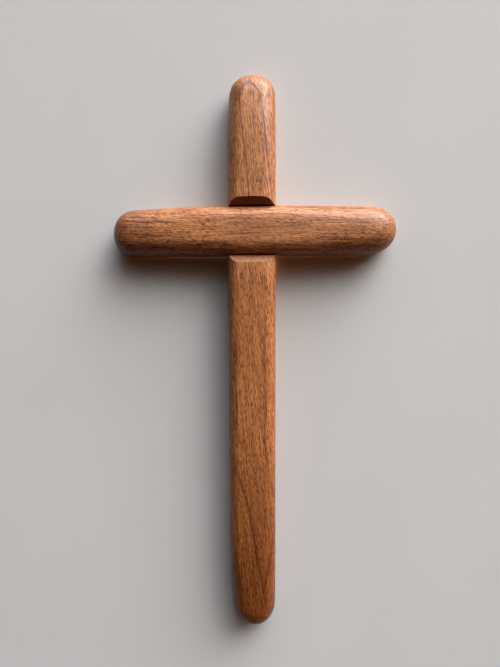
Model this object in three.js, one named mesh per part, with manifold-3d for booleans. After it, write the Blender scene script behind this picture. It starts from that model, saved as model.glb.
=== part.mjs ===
// Wall cross: two hardwood bars crossed in a glued lap joint that is pinned by a hidden dowel.
// It hangs on a steel keyhole plate that is let into the back of the upper arm.
// Millimetres, +Z up, the front faces -Y and the back lies in the plane y = 0.
// The origin is the hanging point: the axis of the wall screw at the top of the plate's slot.

import * as THREE from 'three';
import { mergeVertices } from 'three/addons/utils/BufferGeometryUtils.js';
import Module from 'manifold-3d';

// Driving dimensions: the whole cross and the section of its two bars
const HEIGHT = 300;
const SPAN = 151;
const THICKNESS = 18;
const STAFF_WIDTH = 25;
const CROSSBAR_HEIGHT = 26;
// The crossbar's middle height below the top of the staff, and its middle's shift to the right
const CROSSBAR_DROP = 81.1;
const CROSSBAR_SHIFT = 0.6;

// The rounding of each long front edge along the middle of its arm, and at the dome ends. The
// staff's lower arm is nearly square at its shoulder and grows rounder over some length below it.
const UPPER_STAFF_ROUND = 7;
const SHOULDER_ROUND = 3.6;
const LOWER_STAFF_ROUND = 5.8;
const SHOULDER_GROWTH = 55;
const CROSSBAR_ROUND = 7.5;
const END_ROUND = 8;
const BACK_ROUND = 3.4;
const BACK_END_ROUND = 4.6;
// The length over which an arm's rounding grows into its end's rounding
const ROUND_GROWTH = 34;
// The crown across each front face along the middle of its arm: how much lower the edges lie
const STAFF_CROWN = 0.9;
const CROSSBAR_CROWN = 0.3;
// How the draw of an edge grows towards the tip, where 1 would be a straight taper
const DRAW_CURVE = 1.25;
// The largest share of the thickness and of the width that one rounding may take
const FRONT_ROUND_LIMIT = 0.5;
const BACK_ROUND_LIMIT = 0.35;
const WIDTH_ROUND_LIMIT = 0.42;

// The four ends: the length and squareness of the dome that closes the outline, then how far
// and over what length hand sanding has drawn in each edge on its way to the dome. The high edge
// is the upper edge of the crossbar and the left edge of the staff. The front face falls away
// towards the tip over the fall's reach, and its crown is full up to one distance from the tip
// and is the arm's own from another.
const TOP_END = {
  dome: 11.5, squareness: 2.2, highDraw: 0.85, highReach: 34, lowDraw: 0.4, lowReach: 34,
  fall: 4, fallReach: 34, crown: 2.2, crownFrom: 8, crownTo: 40,
};
const BOTTOM_END = {
  dome: 12.8, squareness: 2, highDraw: 2.5, highReach: 50, lowDraw: 0.4, lowReach: 30,
  fall: 3.5, fallReach: 60, crown: 2, crownFrom: 8, crownTo: 44,
};
const LEFT_END = {
  dome: 11, squareness: 2.1, highDraw: 2, highReach: 40, lowDraw: 0.1, lowReach: 16,
  fall: 1.3, fallReach: 26, crown: 3.5, crownFrom: 22, crownTo: 56,
};
const RIGHT_END = {
  dome: 13.4, squareness: 2.15, highDraw: 0.9, highReach: 26, lowDraw: 1.9, lowReach: 26,
  fall: 1.3, fallReach: 26, crown: 3.5, crownFrom: 24, crownTo: 58,
};

// The lap joint
const LAP_DEPTH = 9;
const SHOULDER_CHAMFER = 3.7;
const GLUE_GAP = 0.1;

// The dowel through the lap
const DOWEL_DIAMETER = 6;
const DOWEL_COVER = 4;
const DOWEL_INSET = 0.4;
const DOWEL_CHAMFER = 0.6;
const DOWEL_FIT = 0.15;

// The keyhole plate
const HANG_HEIGHT = 48;
const PLATE_LENGTH = 40;
const PLATE_WIDTH = 14;
const PLATE_THICKNESS = 1.5;
const PLATE_INSET = 0.3;
const PLATE_FIT = 0.3;
const PLATE_SEAT = 0.1;
const SLOT_WIDTH = 5;
const ENTRY_DIAMETER = 9;
const ENTRY_DROP = 9;
const SCREW_SPACING = 30;

// The pocket in the wood behind the keyhole, where the wall screw's head travels
const POCKET_ROOM = 0.6;
const POCKET_DEPTH = 6;

// The two countersunk screws that hold the plate
const SCREW_HEAD_DIAMETER = 6.4;
const SCREW_HEAD_RIM = 0.25;
const SCREW_CONE = 1.6;
const SCREW_DIAMETER = 3.2;
const SCREW_LENGTH = 12;
const SCREW_POINT = 3;
const SCREW_FIT = 0.2;
const DRIVE_WIDTH = 0.9;
const DRIVE_SPAN = 3.4;
const DRIVE_DEPTH = 1.1;

// Fineness of the facets
const DOME_STEPS = 9;
const ARM_STEP = 12;
const ROUND_STEPS = 5;
const BACK_STEPS = 3;
const HOLE_SIDES = 24;
// How far a cutting solid runs past the surface that it opens
const OVERRUN = 2;
// Points of a geometry that lie closer than this are one point
const MERGE_DISTANCE = 1e-5;

// Where the hanging plate sits: its keyhole is centred on its length
const keyholeShift = (ENTRY_DROP + ENTRY_DIAMETER / 2 - SLOT_WIDTH / 2) / 2;
const plateCentre = HANG_HEIGHT - keyholeShift;
const entryHeight = HANG_HEIGHT - ENTRY_DROP;
const plateFloor = PLATE_INSET + PLATE_THICKNESS;
const recessDepth = plateFloor + PLATE_SEAT;
const quarterTurn = Math.PI / 2;

// Finishes
const staffBeech = new THREE.MeshStandardMaterial({ color: 0xab7046, roughness: 0.55 });
const crossbarBeech = new THREE.MeshStandardMaterial({ color: 0xa67450, roughness: 0.55 });
const dowelBeech = new THREE.MeshStandardMaterial({ color: 0xb98a60, roughness: 0.7 });
const plateSteel = new THREE.MeshStandardMaterial({ color: 0xb9bcc0, roughness: 0.35, metalness: 1 });
const screwSteel = new THREE.MeshStandardMaterial({ color: 0xc2b46e, roughness: 0.3, metalness: 1 });

const wasm = await Module();
wasm.setup();

// Turns a closed geometry into a solid that can be joined and cut
function solid(geometry) {
  const bare = geometry.clone();
  bare.deleteAttribute('normal');
  bare.deleteAttribute('uv');
  const merged = mergeVertices(bare, MERGE_DISTANCE);
  const mesh = new wasm.Mesh({
    numProp: 3,
    vertProperties: new Float32Array(merged.attributes.position.array),
    triVerts: new Uint32Array(merged.index.array),
  });
  return new wasm.Manifold(mesh);
}

// Turns a solid into a named piece of the model with its own material
function piece(name, body, material) {
  const { vertProperties, triVerts } = body.getMesh();
  const geometry = new THREE.BufferGeometry();
  geometry.setAttribute('position', new THREE.BufferAttribute(vertProperties, 3));
  geometry.setIndex(new THREE.BufferAttribute(triVerts, 1));
  geometry.computeVertexNormals();
  const mesh = new THREE.Mesh(geometry, material);
  mesh.name = name;
  return mesh;
}

// How far sanding has drawn an edge in, at a distance from the end's tip
function drawnIn(amount, reach, distance) {
  return amount * (1 - Math.min(distance / reach, 1)) ** DRAW_CURVE;
}

// The share of its full width that an end's outline has, at a distance from the end's tip
function domeShare(end, distance) {
  const inside = Math.max(1 - distance / end.dome, 0);
  return (1 - inside ** end.squareness) ** (1 / end.squareness);
}

// Distances from one tip to the other along a bar, close together at the domes
function stations(length, lowEnd, highEnd) {
  const dome = (end) => Array.from(
    { length: DOME_STEPS + 1 },
    (_, i) => end.dome * (1 - Math.cos((quarterTurn * i) / DOME_STEPS)),
  );
  const straight = length - lowEnd.dome - highEnd.dome;
  const count = Math.max(Math.round(straight / ARM_STEP), 2);
  const middle = Array.from(
    { length: count - 1 },
    (_, i) => lowEnd.dome + (straight * (i + 1)) / count,
  );
  const high = dome(highEnd).map((distance) => length - distance).reverse();
  return [...dome(lowEnd), ...middle, ...high];
}

// The bar's outline seen from the front: its low and high edge at each station. The bar lies
// along X with the crossing at x = 0, and its edges face -Z and +Z.
function outline(bar) {
  const { lowArm, highArm, width, lowEnd, highEnd } = bar;
  const length = lowArm + highArm;
  return stations(length, lowEnd, highEnd).map((fromLow) => {
    const fromHigh = length - fromLow;
    const lowDraw = drawnIn(lowEnd.lowDraw, lowEnd.lowReach, fromLow)
      + drawnIn(highEnd.lowDraw, highEnd.lowReach, fromHigh);
    const highDraw = drawnIn(lowEnd.highDraw, lowEnd.highReach, fromLow)
      + drawnIn(highEnd.highDraw, highEnd.highReach, fromHigh);
    const centre = (lowDraw - highDraw) / 2;
    const share = domeShare(lowEnd, fromLow) * domeShare(highEnd, fromHigh);
    const half = (share * (width - lowDraw - highDraw)) / 2;
    const [end, fromTip] = fromLow < fromHigh ? [lowEnd, fromLow] : [highEnd, fromHigh];
    return { x: fromLow - lowArm, low: centre - half, high: centre + half, end, fromTip };
  });
}

// The outline as one closed loop, out along the low edge and back along the high edge
function outlineLoop(rows) {
  const lowEdge = rows.map((row) => ({ ...row, z: row.low }));
  const highEdge = rows.map((row) => ({ ...row, z: row.high }));
  return [...lowEdge, ...highEdge.slice(1, -1).reverse()];
}

// The inward direction at a point of the loop, square to the line between its neighbours
function inward(loop, i) {
  const before = loop[(i + loop.length - 1) % loop.length];
  const after = loop[(i + 1) % loop.length];
  const run = new THREE.Vector2(after.x - before.x, after.z - before.z).normalize();
  return new THREE.Vector2(-run.y, run.x);
}

// The height of the front face's middle above the back, near an end
function faceHeight({ end, fromTip }) {
  return THICKNESS - end.fall * (1 - Math.min(fromTip / end.fallReach, 1)) ** 2;
}

// How far the crown lowers the front at an inset from the outline
function crownDrop(bar, { end, fromTip }, inset) {
  const along = 1 - THREE.MathUtils.smoothstep(fromTip, end.crownFrom, end.crownTo);
  const outward = Math.max(1 - (2 * inset) / bar.width, 0);
  return THREE.MathUtils.lerp(bar.crown, end.crown, along) * outward ** 2;
}

// The column of points at one place on the outline, from the back face round to the front face
function edgeColumn(bar, point, into) {
  const nearEnd = 1 - THREE.MathUtils.smoothstep(point.fromTip, 0, ROUND_GROWTH);
  const face = faceHeight(point);
  const rim = face - crownDrop(bar, point, 0);
  const widest = WIDTH_ROUND_LIMIT * bar.width;
  const frontWanted = THREE.MathUtils.lerp(bar.round(point.x), END_ROUND, nearEnd);
  const front = Math.min(frontWanted, FRONT_ROUND_LIMIT * rim, widest);
  const backWanted = THREE.MathUtils.lerp(BACK_ROUND, BACK_END_ROUND, nearEnd);
  const back = Math.min(backWanted, BACK_ROUND_LIMIT * rim, widest);
  const column = [];
  for (let k = 0; k <= BACK_STEPS; k += 1) {
    const turn = (quarterTurn * k) / BACK_STEPS;
    column.push([back * (1 - Math.sin(turn)), back * (1 - Math.cos(turn))]);
  }
  for (let k = 0; k <= ROUND_STEPS; k += 1) {
    const turn = (quarterTurn * k) / ROUND_STEPS;
    const inset = front * (1 - Math.cos(turn));
    const height = face - crownDrop(bar, point, inset) - front * (1 - Math.sin(turn));
    column.push([inset, height]);
  }
  return column.map(([inset, height]) => (
    [point.x + into.x * inset, -height, point.z + into.y * inset]
  ));
}

// The highest point of the front's crown between the two edge points of one row
function ridgePoint(bar, row, low, high) {
  const inset = Math.min(row.fromTip, bar.width / 2);
  const height = faceHeight(row) - crownDrop(bar, row, inset);
  return [(low[0] + high[0]) / 2, -height, (low[2] + high[2]) / 2];
}

// A whole bar along X before its joint is cut: a wall of columns round the outline, closed by
// strips across the back and by strips that meet along the ridge of the front
function barGeometry(bar) {
  const rows = outline(bar);
  const loop = outlineLoop(rows);
  const columns = loop.map((point, i) => edgeColumn(bar, point, inward(loop, i)));
  const levels = columns[0].length;
  const at = (place, level) => (place % loop.length) * levels + level;
  const faces = [];
  for (let i = 0; i < loop.length; i += 1) {
    for (let k = 0; k < levels - 1; k += 1) {
      faces.push(at(i, k), at(i + 1, k), at(i + 1, k + 1));
      faces.push(at(i, k), at(i + 1, k + 1), at(i, k + 1));
    }
  }
  const across = (row) => loop.length - row;
  const front = levels - 1;
  const last = rows.length - 1;
  const ridge = rows.slice(1, last).map((row, i) => (
    ridgePoint(bar, row, columns[i + 1][front], columns[across(i + 1)][front])
  ));
  const crest = (row) => loop.length * levels + row - 1;
  for (let row = 1; row < last - 1; row += 1) {
    faces.push(at(row, 0), at(across(row), 0), at(row + 1, 0));
    faces.push(at(row + 1, 0), at(across(row), 0), at(across(row + 1), 0));
    faces.push(at(row, front), at(row + 1, front), crest(row + 1));
    faces.push(at(row, front), crest(row + 1), crest(row));
    faces.push(crest(row), crest(row + 1), at(across(row + 1), front));
    faces.push(crest(row), at(across(row + 1), front), at(across(row), front));
  }
  for (const [tip, low, high, row] of [
    [0, 1, across(1), 1], [last, across(last - 1), last - 1, last - 1],
  ]) {
    faces.push(at(tip, 0), at(high, 0), at(low, 0));
    faces.push(at(tip, front), at(low, front), crest(row));
    faces.push(at(tip, front), crest(row), at(high, front));
  }
  const points = [...columns.flat(), ...ridge];
  const geometry = new THREE.BufferGeometry();
  geometry.setAttribute('position', new THREE.Float32BufferAttribute(points.flat(), 3));
  geometry.setIndex(faces);
  return geometry;
}

// A cutter along X, from an outline of points given as distance in front of the back and height
function channel(points, length) {
  const shape = new THREE.Shape(points.map(([ahead, z]) => new THREE.Vector2(ahead, z)));
  const geometry = new THREE.ExtrudeGeometry(shape, { depth: length, bevelEnabled: false });
  geometry.translate(0, 0, -length / 2);
  geometry.rotateX(quarterTurn);
  geometry.rotateZ(-quarterTurn);
  return solid(geometry);
}

// A block between two distances in front of the back
function block(width, height, nearest, farthest) {
  const geometry = new THREE.BoxGeometry(width, farthest - nearest, height);
  geometry.translate(0, -(nearest + farthest) / 2, 0);
  return solid(geometry);
}

// A turned solid about the Y axis, from a profile of radius and distance in front of the back
function turned(profile) {
  const points = profile.map(([radius, ahead]) => new THREE.Vector2(radius, -ahead)).reverse();
  return solid(new THREE.LatheGeometry(points, HOLE_SIDES));
}

function rod(diameter, nearest, farthest) {
  const radius = diameter / 2;
  return turned([[0, nearest], [radius, nearest], [radius, farthest], [0, farthest]]);
}

// A plate with round ends that stands on end, between two distances in front of the back
function roundEnded(width, length, nearest, farthest) {
  const radius = width / 2;
  const straight = length / 2 - radius;
  const shape = new THREE.Shape();
  shape.moveTo(radius, -straight);
  shape.absarc(0, straight, radius, 0, Math.PI, false);
  shape.absarc(0, -straight, radius, Math.PI, 2 * Math.PI, false);
  const options = {
    depth: farthest - nearest, bevelEnabled: false, curveSegments: HOLE_SIDES / 2,
  };
  const geometry = new THREE.ExtrudeGeometry(shape, options);
  geometry.rotateX(quarterTurn);
  geometry.translate(0, -nearest, 0);
  return solid(geometry);
}

// The notch across the front of the staff, with a chamfered shoulder above and below it
function staffNotch() {
  const half = CROSSBAR_HEIGHT / 2 + GLUE_GAP;
  const floor = THICKNESS - LAP_DEPTH;
  const chamferStart = THICKNESS - SHOULDER_CHAMFER;
  const past = THICKNESS + OVERRUN;
  const mouth = half + SHOULDER_CHAMFER + OVERRUN;
  const points = [
    [floor, -half], [chamferStart, -half], [past, -mouth],
    [past, mouth], [chamferStart, half], [floor, half],
  ];
  return channel(points, STAFF_WIDTH + 2 * OVERRUN);
}

// The notch across the back of the crossbar
function crossbarNotch() {
  const farthest = THICKNESS - LAP_DEPTH + GLUE_GAP;
  const width = STAFF_WIDTH + 2 * GLUE_GAP;
  return block(width, CROSSBAR_HEIGHT + 2 * OVERRUN, -OVERRUN, farthest);
}

function dowelHole() {
  const farthest = THICKNESS - DOWEL_COVER + DOWEL_FIT;
  return rod(DOWEL_DIAMETER + 2 * DOWEL_FIT, -OVERRUN, farthest);
}

function dowel() {
  const radius = DOWEL_DIAMETER / 2;
  const narrow = radius - DOWEL_CHAMFER;
  const nearest = DOWEL_INSET;
  const farthest = THICKNESS - DOWEL_COVER;
  return turned([
    [0, nearest], [narrow, nearest], [radius, nearest + DOWEL_CHAMFER],
    [radius, farthest - DOWEL_CHAMFER], [narrow, farthest], [0, farthest],
  ]);
}

// A countersunk screw whose head lies flush with the back of the plate
function screwBody() {
  const head = SCREW_HEAD_DIAMETER / 2;
  const shank = SCREW_DIAMETER / 2;
  const top = PLATE_INSET;
  const coneTop = top + SCREW_HEAD_RIM;
  const end = top + SCREW_LENGTH;
  const body = turned([
    [0, top], [head, top], [head, coneTop], [shank, coneTop + SCREW_CONE],
    [shank, end - SCREW_POINT], [0, end],
  ]);
  const bottom = top + DRIVE_DEPTH;
  const upright = block(DRIVE_WIDTH, DRIVE_SPAN, -OVERRUN, bottom);
  const level = block(DRIVE_SPAN, DRIVE_WIDTH, -OVERRUN, bottom);
  return body.subtract(upright.add(level));
}

// The countersunk hole that a screw needs in the plate and in the wood
function screwHole() {
  const head = SCREW_HEAD_DIAMETER / 2 + SCREW_FIT;
  const shank = SCREW_DIAMETER / 2 + SCREW_FIT;
  const coneTop = PLATE_INSET + SCREW_HEAD_RIM;
  const end = PLATE_INSET + SCREW_LENGTH + SCREW_FIT;
  return turned([
    [0, -OVERRUN], [head, -OVERRUN], [head, coneTop], [shank, coneTop + SCREW_CONE],
    [shank, end], [0, end],
  ]);
}

const upperScrewHeight = plateCentre + SCREW_SPACING / 2;
const lowerScrewHeight = plateCentre - SCREW_SPACING / 2;
const raised = (body, height) => body.translate(0, 0, height);

// The keyhole through the plate: an entry hole for the wall screw's head and a slot above it
function keyhole() {
  const nearest = -OVERRUN;
  const farthest = plateFloor + OVERRUN;
  const slotLength = ENTRY_DROP + SLOT_WIDTH;
  const slot = roundEnded(SLOT_WIDTH, slotLength, nearest, farthest);
  const entry = rod(ENTRY_DIAMETER, nearest, farthest);
  return raised(slot, HANG_HEIGHT - ENTRY_DROP / 2).add(raised(entry, entryHeight));
}

// The recess for the plate and the deeper pocket behind its keyhole
function hangerRecess() {
  const width = PLATE_WIDTH + 2 * PLATE_FIT;
  const length = PLATE_LENGTH + 2 * PLATE_FIT;
  const recess = roundEnded(width, length, -OVERRUN, recessDepth);
  const pocketWidth = ENTRY_DIAMETER + 2 * POCKET_ROOM;
  const pocketLength = ENTRY_DROP + pocketWidth;
  const pocket = roundEnded(pocketWidth, pocketLength, 0, recessDepth + POCKET_DEPTH);
  const pocketHeight = HANG_HEIGHT - ENTRY_DROP / 2;
  return raised(recess, plateCentre).add(raised(pocket, pocketHeight));
}

function hangerPlate() {
  const blank = raised(roundEnded(PLATE_WIDTH, PLATE_LENGTH, PLATE_INSET, plateFloor), plateCentre);
  return blank.subtract(keyhole())
    .subtract(raised(screwHole(), upperScrewHeight))
    .subtract(raised(screwHole(), lowerScrewHeight));
}

// The rounding of the staff's front edges at a distance above the crossing
function staffRound(x) {
  const shoulder = CROSSBAR_HEIGHT / 2;
  const below = THREE.MathUtils.smoothstep(-x, shoulder, shoulder + SHOULDER_GROWTH);
  const above = THREE.MathUtils.smoothstep(x, -shoulder, shoulder);
  const lower = THREE.MathUtils.lerp(SHOULDER_ROUND, LOWER_STAFF_ROUND, below);
  return THREE.MathUtils.lerp(lower, UPPER_STAFF_ROUND, above);
}

function staff() {
  const bar = {
    lowArm: HEIGHT - CROSSBAR_DROP,
    highArm: CROSSBAR_DROP,
    width: STAFF_WIDTH,
    lowEnd: BOTTOM_END,
    highEnd: TOP_END,
    round: staffRound,
    crown: STAFF_CROWN,
  };
  // The bar is stood on end, so that its length runs up and its high edge is on the left
  const standing = barGeometry(bar).rotateY(-quarterTurn);
  return solid(standing)
    .subtract(staffNotch())
    .subtract(dowelHole())
    .subtract(hangerRecess())
    .subtract(raised(screwHole(), upperScrewHeight))
    .subtract(raised(screwHole(), lowerScrewHeight));
}

function crossbar() {
  const bar = {
    lowArm: SPAN / 2 - CROSSBAR_SHIFT,
    highArm: SPAN / 2 + CROSSBAR_SHIFT,
    width: CROSSBAR_HEIGHT,
    lowEnd: LEFT_END,
    highEnd: RIGHT_END,
    round: () => CROSSBAR_ROUND,
    crown: CROSSBAR_CROWN,
  };
  return solid(barGeometry(bar)).subtract(crossbarNotch()).subtract(dowelHole());
}

const wood = new THREE.Group();
wood.add(
  piece('staff', staff(), staffBeech),
  piece('crossbar', crossbar(), crossbarBeech),
  piece('lap_dowel', dowel(), dowelBeech),
);

const hanger = new THREE.Group();
hanger.add(
  piece('hanger_plate', hangerPlate(), plateSteel),
  piece('hanger_screw_upper', raised(screwBody(), upperScrewHeight), screwSteel),
  piece('hanger_screw_lower', raised(screwBody(), lowerScrewHeight), screwSteel.clone()),
);

// Everything above is placed from the centre of the crossing, and the origin is the hanging point
const wallCross = new THREE.Group();
wallCross.add(wood, hanger);
wallCross.position.set(0, 0, -HANG_HEIGHT);

export default wallCross;
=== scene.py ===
"""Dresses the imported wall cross: two sanded beech bars, their dowel and the steel hanger.

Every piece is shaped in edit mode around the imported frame, in metres, with +Z up and the
front facing -Y. The bars, the dowel, the plate and the screws each stand for one CAD node.
"""

from __future__ import annotations

import logging
import math
from dataclasses import dataclass
from enum import Enum
from typing import Callable, Iterable, Sequence, Union

import bmesh
import bpy
from mathutils import Matrix, Vector


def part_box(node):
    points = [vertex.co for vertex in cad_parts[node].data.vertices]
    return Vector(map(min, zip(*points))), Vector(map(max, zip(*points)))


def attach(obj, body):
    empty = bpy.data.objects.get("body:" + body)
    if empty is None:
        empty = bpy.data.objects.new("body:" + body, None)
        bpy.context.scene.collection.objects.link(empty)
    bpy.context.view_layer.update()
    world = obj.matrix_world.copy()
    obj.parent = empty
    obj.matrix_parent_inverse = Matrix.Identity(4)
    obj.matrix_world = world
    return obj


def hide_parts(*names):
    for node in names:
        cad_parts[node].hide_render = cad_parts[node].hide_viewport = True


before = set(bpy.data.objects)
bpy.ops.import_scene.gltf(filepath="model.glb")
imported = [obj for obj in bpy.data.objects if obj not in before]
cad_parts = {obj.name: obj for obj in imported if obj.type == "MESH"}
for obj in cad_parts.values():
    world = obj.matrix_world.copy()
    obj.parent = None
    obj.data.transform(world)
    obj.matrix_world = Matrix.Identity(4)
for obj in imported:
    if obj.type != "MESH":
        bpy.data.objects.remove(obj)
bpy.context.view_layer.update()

log = logging.getLogger("wall_cross")

MM = 0.001
BODY = "root"
TOUCHING = 1e-6
FACES_FRONT = -0.9
WHITE = (1.0, 1.0, 1.0)

Pair = tuple[float, float]
Triple = tuple[float, float, float]
Colour = tuple[float, float, float, float]


def tone(code: str) -> Colour:
    """Turns a six-digit colour code into the linear colour that a node takes.

    Args:
        code: Red, green and blue as two hexadecimal digits each.

    Returns:
        The linear red, green and blue, and an alpha of 1.
    """
    shares = [int(code[i:i + 2], 16) / 255 for i in (0, 2, 4)]
    linear = [((s + 0.055) / 1.055) ** 2.4 if s > 0.04045 else s / 12.92 for s in shares]
    return (linear[0], linear[1], linear[2], 1.0)


def clamp(value: float) -> float:
    """The value, held between 0 and 1."""
    return min(max(value, 0.0), 1.0)


def ease(low: float, high: float, value: float) -> float:
    """Rises smoothly from 0 at low to 1 at high."""
    share = clamp((value - low) / (high - low))
    return share * share * (3 - 2 * share)


def between(start: float, end: float, share: float) -> float:
    """The number at a share of the way from start to end."""
    return start + (end - start) * share


def distance_to_path(place: Vector, path: Sequence[Vector]) -> float:
    """The shortest distance in a plane from a place to a path of straight runs.

    Args:
        place: The place.
        path: The path's corners in order.

    Returns:
        The distance.
    """
    nearest = math.inf
    for start, end in zip(path, path[1:]):
        run = end - start
        length = run.length_squared
        share = clamp((place - start).dot(run) / length) if length else 0.0
        nearest = min(nearest, (place - start - run * share).length)
    return nearest


# Shader maths


def maths(operation: str, reflected: bool = False) -> Callable[..., "Amount"]:
    """Makes a method of Amount out of a Math node's operation.

    Args:
        operation: The operation.
        reflected: True where the other number comes first, as in 1 - mask.

    Returns:
        The method.
    """

    def method(self: "Amount", *others: "Number") -> "Amount":
        """Adds one Math node on this number and the others."""
        values = dict(enumerate([*others, self] if reflected else [self, *others]))
        return self.shop.amounts("ShaderNodeMath", values, operation=operation)[0]

    return method


class Amount:
    """A number in a node tree, so that shader maths is written as plain sums.

    The least and the most of two numbers are the smaller and the larger one, and a number's
    fraction is what is left after its whole part.
    """

    __add__ = maths("ADD")
    __radd__ = maths("ADD", reflected=True)
    __sub__ = maths("SUBTRACT")
    __rsub__ = maths("SUBTRACT", reflected=True)
    __mul__ = maths("MULTIPLY")
    __rmul__ = maths("MULTIPLY", reflected=True)
    __truediv__ = maths("DIVIDE")
    __rtruediv__ = maths("DIVIDE", reflected=True)
    __pow__ = maths("POWER")
    __rpow__ = maths("POWER", reflected=True)
    __abs__ = maths("ABSOLUTE")
    least = maths("MINIMUM")
    most = maths("MAXIMUM")
    fraction = maths("FRACT")

    def __init__(self, shop: "FinishShop", socket: bpy.types.NodeSocket) -> None:
        """Keeps the tree and the socket that gives the number."""
        self.shop = shop
        self.socket = socket

    def long_side(self, other: "Amount") -> "Amount":
        """The long side of a right-angled triangle with this number and another as legs."""
        return (self * self + other * other) ** 0.5

    def between(self, start: float, end: float) -> "Amount":
        """The number at this share of the way from start to end."""
        return self * (end - start) + start

    def rise(self, low: float, high: float) -> "Amount":
        """Goes smoothly from 0 where this number is low to 1 where it is high.

        Args:
            low: The number that gives 0.
            high: The number that gives 1, which may be the smaller of the two.

        Returns:
            A share from 0 to 1.
        """
        start, end = (0.0, 1.0) if high > low else (1.0, 0.0)
        return self.shop.amounts("ShaderNodeMapRange", {
            "Value": self, "From Min": min(low, high), "From Max": max(low, high),
            "To Min": start, "To Max": end,
        }, interpolation_type="SMOOTHSTEP", clamp=True)[0]

    def line(self, centre: float, half: float) -> "Amount":
        """A soft line: 1 where this number is at the centre, 0 from half a width away."""
        return abs(self - centre).rise(half, 0.0)


Number = Union[Amount, float]
Plug = Union[Amount, bpy.types.NodeSocket, float, Sequence[float]]
Sockets = dict[Union[str, int], Plug]


class Layer(Enum):
    """How one colour lies over another."""

    COAT = "MIX"
    STAIN = "MULTIPLY"


class FinishShop:
    """One node tree, with one method that adds any node."""

    def __init__(self, tree: bpy.types.NodeTree,
                 material: bpy.types.Material | None = None) -> None:
        """Empties the tree of a material, or of the sky, to fill it anew.

        Args:
            tree: The tree.
            material: Its material, or None for the sky's tree.
        """
        self.tree = tree
        self.material = material
        tree.nodes.clear()

    @classmethod
    def for_material(cls, name: str) -> "FinishShop":
        """Starts the tree of a new material.

        Args:
            name: The material's name.

        Returns:
            The shop with the empty tree.
        """
        material = bpy.data.materials.new(name)
        material.use_nodes = True
        return cls(material.node_tree, material)

    def node(self, kind: str, sockets: Sockets | None = None,
             **settings: object) -> bpy.types.Node:
        """Adds a node, sets it, and fills or links its sockets.

        Args:
            kind: The node's type.
            sockets: Values or links by the socket's name or place.
            settings: The node's properties, which are set first.

        Returns:
            The new node.
        """
        made = self.tree.nodes.new(kind)
        for name, setting in settings.items():
            setattr(made, name, setting)
        for name, plug in (sockets or {}).items():
            value = plug.socket if isinstance(plug, Amount) else plug
            if isinstance(value, bpy.types.NodeSocket):
                self.tree.links.new(value, made.inputs[name])
            else:
                made.inputs[name].default_value = value
        return made

    def amounts(self, kind: str, sockets: Sockets | None = None,
                **settings: object) -> list[Amount]:
        """Adds a node and gives its outputs as numbers."""
        return [Amount(self, out) for out in self.node(kind, sockets, **settings).outputs]

    def coordinates(self, kind: str) -> list[Amount]:
        """The x, y and z of one kind of texture coordinate."""
        vector = self.node("ShaderNodeTexCoord").outputs[kind]
        return self.amounts("ShaderNodeSeparateXYZ", {0: vector})

    def place(self) -> list[Amount]:
        """The object coordinates, in millimetres."""
        return [part / MM for part in self.coordinates("Object")]

    def pattern(self, where: Sequence[Number], size: Triple,
                shift: float = 0.0) -> bpy.types.NodeSocket:
        """A place in a pattern, from a place in the piece.

        Args:
            where: The place in the piece.
            size: How large the pattern's features are each way.
            shift: How far along the first way the pattern starts.

        Returns:
            The vector that a texture takes.
        """
        x, y, z = (part / length for part, length in zip(where, size))
        return self.node("ShaderNodeCombineXYZ", {0: x + shift, 1: y, 2: z}).outputs[0]

    def noise(self, where: bpy.types.NodeSocket, detail: float = 2.0) -> Amount:
        """Adds cloudy noise.

        Args:
            where: The place in the pattern.
            detail: How many times finer noise is laid over it.

        Returns:
            The noise, around 0.5.
        """
        return self.amounts("ShaderNodeTexNoise", {
            "Vector": where, "Scale": 1.0, "Detail": detail, "Roughness": 0.5,
        }, noise_dimensions="3D")[0]

    def cells(self, where: bpy.types.NodeSocket) -> tuple[Amount, Amount]:
        """Scattered points, one to a cell.

        Args:
            where: The place in the pattern.

        Returns:
            The distance to the nearest point, and a random share for that point.
        """
        made = self.node("ShaderNodeTexVoronoi", {
            "Vector": where, "Scale": 1.0, "Randomness": 1.0,
        }, feature="F1").outputs
        luck = self.amounts("ShaderNodeSeparateColor", {0: made["Color"]})[0]
        return Amount(self, made["Distance"]), luck

    def blend(self, share: Number, under: Plug, over: Plug,
              layer: Layer = Layer.COAT) -> bpy.types.NodeSocket:
        """Lays one colour over another.

        Args:
            share: How much of the upper colour shows.
            under: The lower colour.
            over: The upper colour.
            layer: How the upper colour lies.

        Returns:
            The colour socket.
        """
        return self.node("ShaderNodeMix", {0: share, 6: under, 7: over}, data_type="RGBA",
                         blend_type=layer.value, clamp_factor=True).outputs[2]

    def bump(self, height: Number, distance: float, strength: float) -> bpy.types.NodeSocket:
        """Turns a height into a normal."""
        sockets: Sockets = {"Height": height, "Distance": distance, "Strength": strength}
        return self.node("ShaderNodeBump", sockets).outputs[0]

    def mixed(self, share: Number, under: bpy.types.Node,
              over: bpy.types.Node) -> bpy.types.Node:
        """Shows a share of one shader over another.

        Args:
            share: How much of the upper shader shows.
            under: The lower shader.
            over: The upper shader.

        Returns:
            The mixed shader.
        """
        return self.node("ShaderNodeMixShader", {
            0: share, 1: under.outputs[0], 2: over.outputs[0],
        })

    def finish(self, shader: bpy.types.Node) -> None:
        """Ends the tree in a shader."""
        kind = "Material" if self.material else "World"
        self.node(f"ShaderNodeOutput{kind}", {0: shader.outputs[0]})


# Finishes


class Run(Enum):
    """The way a board's fibres run."""

    UPRIGHT = "upright"
    LEVEL = "level"


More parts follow.
